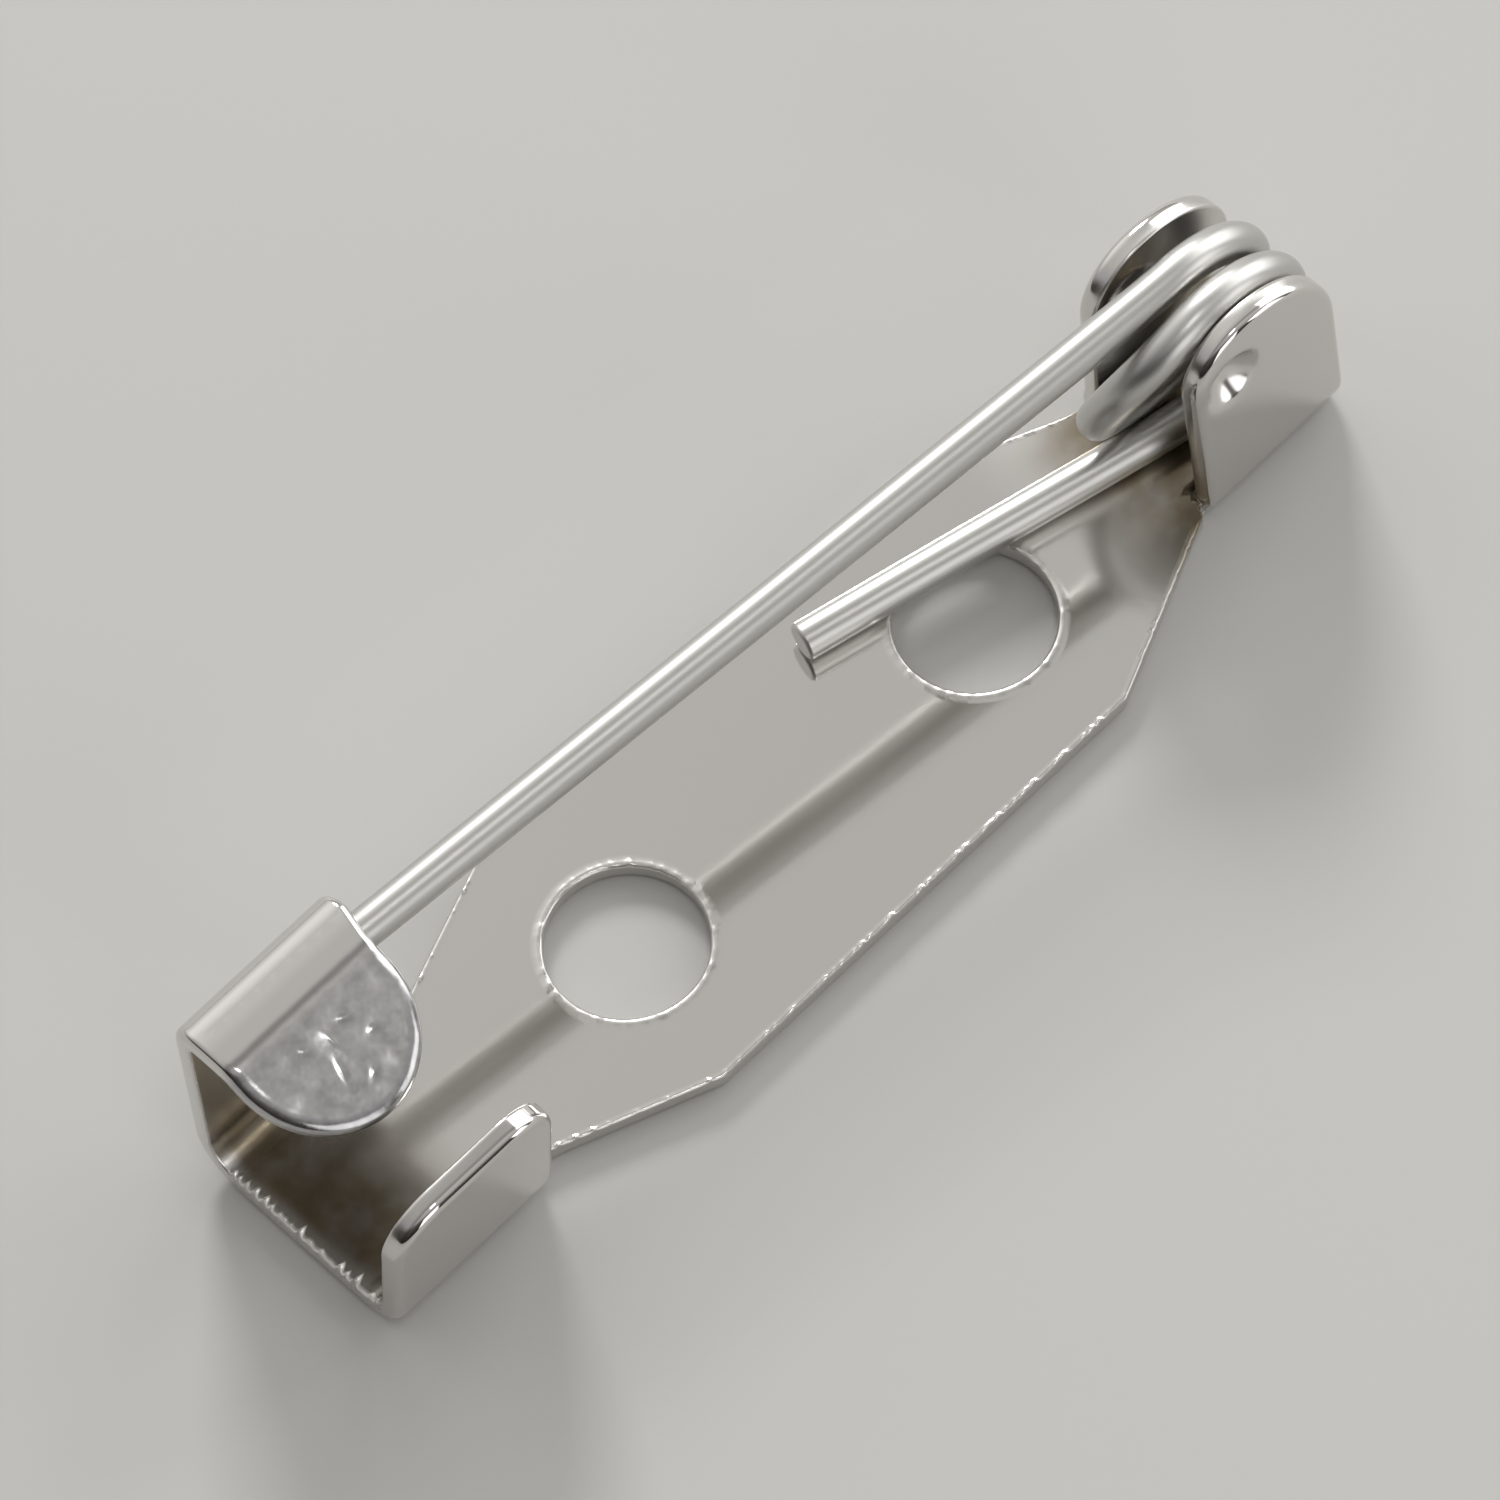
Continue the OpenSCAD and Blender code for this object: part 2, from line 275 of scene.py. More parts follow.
def at_torn_end(loop):
    """Which points lie on the torn end of the hook."""
    return ((loop[:, 0] < HOOK_END + TORN_IN)
            & (np.abs(loop[:, 1]) < hook_flat + TORN_SIDE))


def burr_height(loop, hole):
    """Height of the burr: none on the bent walls, most on the torn end of the hook."""
    x, s = loop[:, 0], loop[:, 1]
    plate = (np.abs(x) < -HOOK_INNER + NECK_GAP / 2) & (np.abs(s) < half_w + 0.1)
    return BURR_ON_HOLE if hole else BURR_ON_PLATE * plate + BURR_ON_END * at_torn_end(loop)


def rim_rings(loop, hole):
    """Rings (inset, height off the middle) from the front border to the back one."""
    lumps = np.clip(waves(loop, TORN_SIZE, 3) + 0.15, 0, 1.3) ** 1.5
    wide = BURR_WIDE * (1 + TOOTH_WIDER * at_torn_end(loop) * lumps)
    if hole:
        # The plating grew round the edge of a hole and joined its burr into one soft lip
        lumps, wide = LIP_LEAST + (1 - LIP_LEAST) * lumps, np.full(len(loop), LIP_WIDE)
    burr = burr_height(loop, hole) * lumps
    sharp = np.array([(x, s) for x, s, radius in corners if radius < 0.1])
    near = np.min(np.linalg.norm(loop[:, None] - sharp[None], axis=2), axis=1)
    ease = np.clip(near / EASE_REACH, EASE_LEAST, 1)
    top, base = SHEET / 2, 0 * burr
    past = np.clip((loop[:, 1] - crease) / TONGUE_RAMP, 0, 1)
    roll_wide = ROLL * ease * (1 + TONGUE_ROLL * past)
    rings = [(wide * ease, top + base), (0.5 * wide * ease, top + 0.35 * burr),
             (0.2 * wide * ease + 0.3 * burr, top + burr),
             (0.6 * burr, top + 0.3 * burr - 0.02),
             (0.3 * burr, top - 0.06 + base), (base, base)]
    for k in range(ROLL_STEPS + 1):
        a = math.radians(90 * k / ROLL_STEPS)
        rings.append((roll_wide * (1 - math.cos(a)),
                      base - top + ROLL * ease * (1 - math.sin(a))))
    return rings


points, normals, torn, faces = [], [], [], []
# The ring where the cut stands upright, which tells the inside from the outside
UPRIGHT_RING = 5
# How torn the metal is on each ring: not at the flat border, nor on the smooth round shoulder
RING_TORN = np.array([0, 0.7, 1, 1, 0.6, 0.2] + [0] * (ROLL_STEPS + 1))


def add_rim(loop, hole):
    """Adds the rings round one loop; returns the numbers of its front and back rings."""
    first, side, count = sum(len(p) for p in points), outward(loop), len(loop)
    rings = np.array([np.c_[loop - side * inset[:, None], height]
                      for inset, height in rim_rings(loop, hole)])
    along = np.roll(rings, -1, axis=1) - np.roll(rings, 1, axis=1)
    facing = np.cross(along, np.gradient(rings, axis=0))
    facing *= np.sign(np.sum(facing[UPRIGHT_RING, :, :2] * side))
    facing[0], facing[-1] = (0, 0, 1), (0, 0, -1)
    points.append(rings.reshape(-1, 3))
    normals.append(facing.reshape(-1, 3))
    share = 0.1 + 0.9 * np.sqrt(np.ones(count) * burr_height(loop, hole) / BURR_ON_END)
    torn.append((RING_TORN[:, None] * share[None]).ravel())
    for k in range(len(rings) - 1):
        a, b = first + k * count, first + (k + 1) * count
        faces.extend((a + i, b + i, b + (i + 1) % count, a + (i + 1) % count)
                     for i in range(count))
    return first, first + (len(rings) - 1) * count


rims = [(add_rim(loop, i > 0), len(loop)) for i, loop in enumerate([outline] + holes)]
print("rim faces", len(faces))

# %% [markdown]
# The two faces of the blank are filled with triangles. Rows of points lie across every bend,
# and fine patches lie where the press pushes the metal out of its plane: at the dimples of
# the ears, on the hook's strip and on the tongue. Finer grids also lie in the hook and at the
# hinge, where the finish changes over a short way. Elsewhere a coarse grid is enough.

# %% Points inside the blank
# Degrees from row to row over a bend, and the step along a row
ROW_TURN, ROW_STEP = 6, 0.16
# Steps of the grids on the plate, in the hook, at the hinge, on the tongue and in a dimple
COARSE, FLAT_STEP, HINGE_STEP, TONGUE_STEP, DIMPLE_STEP = 0.5, 0.12, 0.15, 0.033, 0.05
# Step of the band near the hook's torn end, how far in it starts, and its width
END_STEP, END_IN, END_WIDE = 0.06, 0.24, 0.26
# Step up the hook's wall, and the steps along the strip and across it
WALL_ROWS, STRIP_COLUMNS, STRIP_ROWS = 0.3, 0.3, 0.05
# Where the hinge's grid starts in x, and how far the grids reach: the hinge's to each side,
# the tongue's past the crease, and a dimple's from its middle
HINGE_FLAT, HINGE_REACH, TONGUE_DEEP, DIMPLE_REACH = 4.7, 2.6, 2.6, 1
# How far grids stay from the hook's end, the floor's bends, the wall's bends, the ears and
# the burr. The floor's grid also goes END_GAP past the hook's inner end
END_GAP, FLOOR_GAP, WALL_GAP, EAR_GAP, BURR_GAP = 0.3, 0.02, 0.05, 0.1, 0.08


def lattice(x0, x1, s0, s1, dx, ds):
    """Rows and columns of points, dx and ds apart."""
    xs, ss = np.arange(x0, x1 + dx / 2, dx), np.arange(s0, s1 + ds / 2, ds)
    return np.array([(x, s) for x in xs for s in ss])


def bend_rows(name, side, x0, x1):
    """Grid over each bend of a wall, a row every few degrees."""
    out, start = [], 0.0
    for run, bend, turn in paths[name]:
        start += run
        if turn:
            length = arc(bend, turn)
            rows = max(4, round(turn / ROW_TURN))
            out.append(lattice(x0, x1, start, start + length, ROW_STEP, length / rows))
            start += length
    grid = np.vstack(out)
    return np.c_[grid[:, 0], side * grid[:, 1]]


dimple_s = {name: along_at_height(paths[name], DIMPLE_Z) for name, side in EARS}
# The grid on the hook's wall ends a little short of the bends, which have rows of their own
wall_low = hook_flat + arc(HOOK_BEND, 90) + WALL_GAP
wall_high = wall_low + hook_rise - 2 * WALL_GAP
patches = [
    lattice(HOOK_END, HINGE_END, -half_w, half_w, COARSE, COARSE),
    lattice(HOOK_END + END_GAP, HOOK_INNER + END_GAP, -hook_flat + FLOOR_GAP,
            hook_flat - FLOOR_GAP, FLAT_STEP, FLAT_STEP),
    lattice(HOOK_END + END_GAP, HOOK_INNER, wall_low, wall_high, FLAT_STEP, WALL_ROWS),
    lattice(HINGE_FLAT, EAR_FOOT - EAR_GAP, -HINGE_REACH, HINGE_REACH,
            HINGE_STEP, HINGE_STEP),
    lattice(HOOK_END, TONGUE_X, crease, crease + TONGUE_DEEP, TONGUE_STEP, TONGUE_STEP),
    lattice(HOOK_END, HOOK_INNER, strip_start, crease, STRIP_COLUMNS, STRIP_ROWS),
    bend_rows("hook", 1, HOOK_END, HOOK_INNER), bend_rows("guard", -1, HOOK_END, GUARD_INNER),
    bend_rows("near", -1, EAR_FOOT, HINGE_END), bend_rows("far", 1, EAR_FOOT, HINGE_END),
]
for name, side in EARS:
    s = dimple_s[name]
    patches.append(lattice(DIMPLE_X - DIMPLE_REACH, DIMPLE_X + DIMPLE_REACH,
                           side * s - DIMPLE_REACH, side * s + DIMPLE_REACH,
                           DIMPLE_STEP, DIMPLE_STEP))
border = outline - outward(outline) * (BURR_WIDE + BURR_GAP)
patches.append(border[::2])
patches.append(lattice(HOOK_END + END_IN, HOOK_END + END_IN + END_WIDE, -hook_flat, hook_flat,
                       END_STEP, END_STEP))
inner = np.vstack(patches)
print("points inside", len(inner))

# %% Filling the two faces
# Loose points keep this far from the rims, so that no sliver is made
FILL_MARGIN = 0.03


def inside_polygon(p, loop):
    """For each point, whether it lies inside the closed loop."""
    x, y = p[:, 0][:, None], p[:, 1][:, None]
    x0, y0 = loop[:, 0][None], loop[:, 1][None]
    x1, y1 = np.roll(loop[:, 0], -1)[None], np.roll(loop[:, 1], -1)[None]
    crosses = (y0 > y) != (y1 > y)
    with np.errstate(divide="ignore", invalid="ignore"):
        at = x0 + (y - y0) * (x1 - x0) / (y1 - y0)
    return (np.sum(crosses & (x < at), axis=1) % 2) == 1


def in_metal(p, loops):
    """Which points lie inside the first loop and outside the others, which are holes."""
    keep = inside_polygon(p, loops[0])
    for loop in loops[1:]:
        keep &= ~inside_polygon(p, loop)
    return keep


def fill(which, height, up):
    """Fills one face between the rings that the rims left there."""
    all_points = np.vstack(points)
    ids = [np.arange(ends[which], ends[which] + count) for ends, count in rims]
    loops = [all_points[i][:, :2] for i in ids]
    shrunk = [loop - outward(loop) * FILL_MARGIN for loop in loops]
    own = inner[in_metal(inner, shrunk)]
    border = np.concatenate(ids)
    verts = np.vstack([all_points[border][:, :2], own])
    edges, start = [], 0
    for loop in loops:
        edges += [(start + i, start + (i + 1) % len(loop)) for i in range(len(loop))]
        start += len(loop)
    made = delaunay_2d_cdt([Vector(v) for v in verts], edges, [], 0, 1e-7)
    where, tris, source = np.array([tuple(v) for v in made[0]]), np.array(made[2]), made[3]
    tris = tris[in_metal(where[tris].mean(axis=1), loops)]
    base = len(all_points)
    number = {}
    fresh = []
    for i, came_from in enumerate(source):
        old = min(came_from) if came_from else len(verts)
        if old < len(border):
            number[i] = int(border[old])
        else:
            number[i] = base + len(fresh)
            fresh.append((where[i][0], where[i][1], height))
    points.append(np.array(fresh))
    normals.append(np.tile([0.0, 0.0, up], (len(fresh), 1)))
    for a, b, c in tris:
        tri = (number[int(a)], number[int(b)], number[int(c)])
        faces.append(tri if up > 0 else tri[::-1])
    return len(tris)


print("front", fill(0, SHEET / 2, 1.0), "back", fill(1, -SHEET / 2, -1.0), "triangles")

# %% [markdown]
# Now the press. One function takes every point of the blank to its place on the bent part. A
# dimple is a smooth dent pushed inwards, so it is a hollow outside and a bulge inside. The
# tongue was struck by a worn die, which left shallow dents. The surface normals are turned by
# the same function, so that the bends shade as true rounds.

# %% Pressing and bending
# Dents of the tongue: place (x, distance past the crease), length, width, direction
DENTS = [(-8.55, 0.75, 0.3, 0.09, 80), (-8.2, 0.62, 0.22, 0.1, 30),
         (-8.75, 1.15, 0.34, 0.09, 105), (-8.0, 1.0, 0.16, 0.12, 0),
         (-8.95, 0.6, 0.2, 0.1, 60), (-8.4, 1.45, 0.18, 0.1, 140)]
DENT_DEPTH, UNEVEN, CROWN = 0.012, 0.004, 0.009
# Width of the tongue's uneven lumps, and how far past the crease they reach full height
LUMP_SIZE, LUMP_RAMP = 0.6, 0.35
# The bowl of a dimple: its flat share, its softness, the scale that makes it as deep as
# DIMPLE_DEPTH, and the low, wide swell round it
BOWL_FLAT, BOWL_SOFT, BOWL_SCALE = 0.85, 0.03, 1.72
SWELL_HIGH, SWELL_WIDE = 0.03, 1.7
# How far past a wall's edge a point still bends with it, and the step for the normals
TINY, NORMAL_STEP = 0.004, 1e-4


def dents(x, past):
    """Depth of the dents that the die left on the tongue."""
    total = np.zeros_like(x)
    for at_x, at_past, length, width, angle in DENTS:
        c, d = math.cos(math.radians(angle)), math.sin(math.radians(angle))
        u, v = (x - at_x) * c + (past - at_past) * d, (past - at_past) * c - (x - at_x) * d
        total += np.exp(-(2 * u / length) ** 2 - (2 * v / width) ** 2)
    return DENT_DEPTH * total


def dish(x, s, name):
    """How far a dimple pushes the sheet: a round bowl with a soft shoulder."""
    r = np.hypot(x - DIMPLE_X, s - dimple_s[name]) / DIMPLE_R
    u = BOWL_FLAT - r ** 2
    bowl = DIMPLE_DEPTH * (u + np.sqrt(u * u + BOWL_SOFT)) / BOWL_SCALE
    return bowl + SWELL_HIGH * np.exp(-(r / SWELL_WIDE) ** 2)


def press(p):
    """Places of the blank's points (x, s, n) on the bent part, in millimetres."""
    x, s, n = p[:, 0], p[:, 1], p[:, 2].copy()
    size = np.abs(s)
    tongue = np.clip((s - crease) / LUMP_RAMP, 0, 1) * (x < TONGUE_X)
    n = n + tongue * (UNEVEN * waves(np.c_[x, s], LUMP_SIZE, 11) - dents(x, s - crease))
    # The strip of the hook sprang back a little and stands in a slight crown
    over_strip = np.clip(1 - ((s - strip_start - STRIP_W / 2) / (STRIP_W / 2)) ** 2, 0, 1)
    n = n - CROWN * over_strip * (x < HOOK_INNER + TINY)
    for name, sign in EARS:
        on = (x > EAR_FOOT - 0.1) & (s * sign > 0)
        n = np.where(on, n + dish(x, size, name), n)
    y, z = size.copy(), SHEET / 2 + n
    for name, on in (("hook", (x < HOOK_INNER + TINY) & (s > 0)),
                     ("guard", (x < GUARD_INNER + TINY) & (s <= 0)),
                     ("far", (x > EAR_FOOT - TINY) & (s > 0)),
                     ("near", (x > EAR_FOOT - TINY) & (s <= 0))):
        on = on & (size > paths[name][0][0])
        wall_y, wall_z = bent(paths[name], size[on], n[on])
        y[on], z[on] = wall_y, wall_z
    return np.stack([x, np.sign(s) * y, z], 1)


def pressed_normals(p, normal):
    """The blank's normals after pressing, from how the function moves close neighbours."""
    h = NORMAL_STEP
    gx, gs, gn = [(press(p + h * axis) - press(p - h * axis)) / (2 * h)
                  for axis in np.eye(3)]
    out = (normal[:, :1] * np.cross(gs, gn) + normal[:, 1:2] * np.cross(gn, gx)
           + normal[:, 2:] * np.cross(gx, gs))
    return out / np.linalg.norm(out, axis=1)[:, None]


blank = np.vstack(points)
flat_normals = np.vstack(normals)
flat_normals /= np.linalg.norm(flat_normals, axis=1)[:, None]
placed = press(blank)
print("pressed part spans", placed.min(0).round(3), placed.max(0).round(3))

# %% [markdown]
# The arrays become a mesh. Four values are kept at each point for the finish: how torn the
# edge is, how much the die has marked it, how much painted shade it gets in the hook and at
# the hinge, and how much it was rubbed.

# %% From arrays to a mesh
def mesh_piece(name, places, polygons, vertex_normals, values):
    """A mesh object in metres with its own normals and named values per point."""
    mesh = bpy.data.meshes.new(name)
    mesh.from_pydata((places * MM).tolist(), [], [list(map(int, f)) for f in polygons])
    mesh.polygons.foreach_set("use_smooth", [True] * len(mesh.polygons))
    for key, numbers in values.items():
        layer = mesh.attributes.new(key, "FLOAT", "POINT")
        layer.data.foreach_set("value", np.asarray(numbers, dtype=np.float32))
    mesh.validate()
    mesh.normals_split_custom_set_from_vertices(vertex_normals.tolist())
    piece = bpy.data.objects.new(name, mesh)
    bpy.context.scene.collection.objects.link(piece)
    return piece


def ramp(v, a, b):
    """Smooth step from 0 at a to 1 at b."""
    u = np.clip((v - a) / (b - a), 0, 1)
    return u * u * (3 - 2 * u)


# Each pair is where a value is 0 and where it is full. Painted shade in the hook: in from the
# hook's inner end, along s towards the middle, and in from the hook's outer end
HOOK_SHADE, HOOK_SHADE_SIDE, HOOK_SHADE_END = (0.2, 2.1), (2.6, 2.1), (0.06, 0.36)
# Painted shade at the hinge: along x, and along s from the near side and from the far side
HINGE_SHADE, HINGE_SHADE_NEAR, HINGE_SHADE_FAR = (5.3, 7.0), (3.6, 2.6), (1.8, 1.0)
# Rubbing: in from the hook's inner end, and along x at the hinge
HOOK_RUB, HINGE_RUB = (0.3, 1.8), (4.8, 6.0)
# Strength of the rubbing in a dimple, against 1 in the hook and at the hinge
DIMPLE_RUB = 1.1
# How far past the crease the die's marks reach their full strength
MARKS_RAMP = 0.3
rim_torn = np.concatenate(torn)
edge_band = np.r_[rim_torn, np.zeros(len(blank) - len(rim_torn))]
die_marks = np.clip((blank[:, 1] - crease) / MARKS_RAMP, 0, 1) * (blank[:, 0] < HOOK_INNER)
x, y = blank[:, 0], np.abs(blank[:, 1])
# Painted brown shade in the hook's channel and on the plate at the hinge, where the metal
# mirrors the dark walls and coil round it; only on the front face
painted_shade = (ramp(x, HOOK_INNER - HOOK_SHADE[0], HOOK_INNER - HOOK_SHADE[1])
          * ramp(y, *HOOK_SHADE_SIDE)
          * ramp(x, HOOK_END + HOOK_SHADE_END[0], HOOK_END + HOOK_SHADE_END[1])
          + ramp(x, *HINGE_SHADE) * ramp(y, *HINGE_SHADE_NEAR)
          * ramp(blank[:, 1], *HINGE_SHADE_FAR))
painted_shade *= blank[:, 2] > 0
# The insides of the hook and of the hinge, and the dimples, were rubbed by the tools and are
# hazier than the plate
rubbed = ramp(x, HOOK_INNER - HOOK_RUB[0], HOOK_INNER - HOOK_RUB[1]) + ramp(x, *HINGE_RUB)
rubbed *= blank[:, 2] > 0
for name, sign in EARS:
    reach = np.hypot(x - DIMPLE_X, sign * blank[:, 1] - dimple_s[name])
    rubbed = np.maximum(rubbed, DIMPLE_RUB * np.exp(-(reach / DIMPLE_R) ** 2))
sheet_back = mesh_piece("sheet_back", placed, faces, pressed_normals(blank, flat_normals),
                        {"cut_edge": edge_band, "die_marks": die_marks, "painted_shade": painted_shade,
                         "rubbed": rubbed})
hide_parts("back_plate")
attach(sheet_back, "back")
print("sheet back has", len(sheet_back.data.polygons), "faces")

# %% [markdown]
# The wire follows one route: a straight stem, one and a half rounds of coil that step sideways
# as they go, and a straight tail. The stem and the tail are joined to the coil by short
# smooth curves, as a wire bent round a mandrel has.

# %% Route of the wire
FIRST_TOP, FIRST_LOW, SECOND_TOP, SECOND_LOW = 0.26, 0.56, -0.45, -0.14
SPREAD, CROSS, LAST = (50, 180), (205, 345), 400
COIL_DROP, COIL_TURN = 0.12, 538
STRAIGHT, BLEND = 4.0, 0.9
STEM_STEPS, TAIL_STEPS, COIL_STEP = 60, 40, 3.0


def coil_point(turn):
    """Middle of the wire after a turn of that many degrees from the stem."""
    y = (FIRST_TOP + (FIRST_LOW - FIRST_TOP) * ramp(turn, *SPREAD)
         + (SECOND_TOP - FIRST_LOW) * ramp(turn, *CROSS)
         + (SECOND_LOW - SECOND_TOP) * np.clip((turn - LAST) / (COIL_TURN - LAST), 0, 1) ** 2)
    a = math.radians(turn)
    return np.array([COIL_X + COIL_R * math.sin(a), y,
                     COIL_Z + COIL_R * math.cos(a) - COIL_DROP * ramp(turn, LAST, COIL_TURN)])


def unit(v):
    """The vector at length 1."""
    return v / np.linalg.norm(v)


def cubic(a, b, c, d, count):
    """Points of a smooth curve from a to d that leaves towards b and comes in from c."""
    u = np.linspace(0, 1, count)[:, None]
    v = 1 - u
    return v ** 3 * a + 3 * v * v * u * b + 3 * v * u * u * c + u ** 3 * d


latch = np.array([HOOK_INNER, HOOK_SIDE - SHEET - WIRE_R - RUB, HOOK_H - SHEET - WIRE_R - RUB])
root, leave = coil_point(0), coil_point(COIL_TURN)
stem_dir = unit(root - latch)
start = latch + (POINT_X + POINT_L - HOOK_INNER) / stem_dir[0] * stem_dir
tip = latch + (POINT_X - HOOK_INNER) / stem_dir[0] * stem_dir
tail_end = np.array([TAIL_X, TAIL_Y, SHEET + WIRE_R + RUB])
tail_dir = unit(tail_end - leave)
stem = cubic(start, start + STRAIGHT * stem_dir,
             root - BLEND * unit(coil_point(1) - root), root, STEM_STEPS)[:-1]
coil = np.array([coil_point(t) for t in np.arange(0, COIL_TURN - 1, COIL_STEP)])
tail = cubic(leave, leave + BLEND * unit(leave - coil_point(COIL_TURN - 1)),
             tail_end - STRAIGHT * tail_dir, tail_end, TAIL_STEPS)
steps = np.linalg.norm(np.diff(np.vstack([stem, coil, tail]), axis=0), axis=1)
print("wire is", round(steps.sum(), 1), "mm long with", len(coil), "coil points")

# %% [markdown]
# The wire is a tube of rings along that route. The point was ground on a wheel, so it is a
# slim cone with a slight bulge. The tail was cut with nippers, which leave a small round
# shoulder and a flat face.

# %% The wire's mesh
WIRE_SIDES = 32
TIP_R, CUT_ROUND = 0.03, 0.06
POINT_BULGE, POINT_RINGS, CUT_RINGS = 0.25, 24, 6
# The steepest taper that the wire's normals follow
STEEPEST = 3


def ground_point():
    """Rings of the point as (place, radius), from the tip to the full wire."""
    u = np.linspace(0, 1, POINT_RINGS)
    # Nearly a straight cone: a fuller one would cut into the hook's wall
    radii = TIP_R + (WIRE_R - TIP_R) * (u + POINT_BULGE * u * (1 - u))
    return tip + (start - tip) * u[:, None], radii


def cut_end():
    """Rings that close the tail: the round shoulder that the cut leaves."""
    a = np.radians(np.linspace(0, 90, CUT_RINGS))
    short = CUT_ROUND * (1 - np.sin(a))
    radii = WIRE_R - CUT_ROUND * (1 - np.cos(a))
    return tail_end - short[:, None] * tail_dir, radii


point_places, point_radii = ground_point()
body = np.vstack([stem[1:], coil, tail[:-1]])
end_places, end_radii = cut_end()
route = np.vstack([point_places, body, end_places])
radii = np.r_[point_radii, np.full(len(body), WIRE_R), end_radii]
heading = np.gradient(route, axis=0)
heading /= np.linalg.norm(heading, axis=1)[:, None]
across = np.cross(heading, np.cross([0, 1, 0], heading))
across /= np.linalg.norm(across, axis=1)[:, None]
above = np.cross(heading, across)
around = np.linspace(0, 2 * math.pi, WIRE_SIDES, endpoint=False)
circle = (np.cos(around)[None, :, None] * across[:, None]
          + np.sin(around)[None, :, None] * above[:, None])
wire_points = (route[:, None] + radii[:, None, None] * circle).reshape(-1, 3)
slope = np.gradient(radii) / (np.linalg.norm(np.gradient(route, axis=0), axis=1) + 1e-9)
slope = np.clip(slope, -STEEPEST, STEEPEST)[:, None, None]
wire_normals = (circle - slope * heading[:, None]).reshape(-1, 3)
wire_normals /= np.linalg.norm(wire_normals, axis=1)[:, None]
wire_faces = []
for i in range(len(route) - 1):
    for k in range(WIRE_SIDES):
        a, b = i * WIRE_SIDES + k, i * WIRE_SIDES + (k + 1) % WIRE_SIDES
        wire_faces.append((a, b, b + WIRE_SIDES, a + WIRE_SIDES))
caps = [(0, -1), ((len(route) - 1) * WIRE_SIDES, 1)]
for first, sign in caps:
    rim = wire_points[first:first + WIRE_SIDES]
    face_dir = heading[0] * -1 if sign < 0 else heading[-1]
    base = len(wire_points)
    wire_points = np.vstack([wire_points, rim])
    wire_normals = np.vstack([wire_normals, np.tile(face_dir, (WIRE_SIDES, 1))])
    order = list(range(base, base + WIRE_SIDES))
    wire_faces.append(order[::-1] if sign < 0 else order)
along = np.r_[0, np.cumsum(np.linalg.norm(np.diff(route, axis=0), axis=1))]
along = np.r_[np.repeat(along, WIRE_SIDES), np.zeros(WIRE_SIDES),
              np.full(WIRE_SIDES, along[-1])]
turned = np.r_[np.tile(around, len(route)), around, around]
pin = mesh_piece("spring_pin", wire_points, wire_faces, wire_normals,
                 {"along": along, "around": turned / (2 * math.pi)})
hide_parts("pin_wire")
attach(pin, "pin")
print("spring pin has", len(pin.data.polygons), "faces")

# %% [markdown]
# Both pieces are steel under a thin coat of bright nickel. Nickel is a warm, slightly yellow
# white metal, and a barrel-plated part is never a perfect mirror: tumbling leaves fine
# scratches and a soft haze. Each shader is a metal with a very shallow bump and a roughness
# that varies from place to place. It is lowest on the sheet's flats and higher on the wire.

# %% Helpers for materials
def colour(code):
    """Linear colour from an sRGB hex value."""
    parts = [int(code[i:i + 2], 16) / 255 for i in (1, 3, 5)]
    return [c / 12.92 if c <= 0.04045 else ((c + 0.055) / 1.055) ** 2.4 for c in parts] + [1]


def node(tree, kind, settings=None, **inputs):
    """Adds a node. A value that is another node's output is linked, any other one is set.

    The settings' keys are properties, or the names or numbers of sockets.
    """
    made = tree.nodes.new(kind)
    named = {key.replace("_", " "): value for key, value in inputs.items()}
    for key, value in {**(settings or {}), **named}.items():
        if isinstance(value, bpy.types.NodeSocket):
            tree.links.new(value, made.inputs[key])
        elif isinstance(key, str) and hasattr(made, key) and key not in made.inputs:
            setattr(made, key, value)
        else:
            made.inputs[key].default_value = value
    return made


def new_material(name):
    """An empty material and its node tree."""
    material = bpy.data.materials.new(name)
    material.use_nodes = True
    material.node_tree.nodes.clear()
    return material, material.node_tree


# Sockets of a colour Mix node: its two colours, and its result
MIX_A, MIX_B, MIX_OUT = 6, 7, 2

# %% Bright nickel on stamped sheet
# How much roughness the torn metal of a cut adds, and how much the rubbed places add
TORN_HAZE, RUBBED_HAZE = 0.3, 0.155


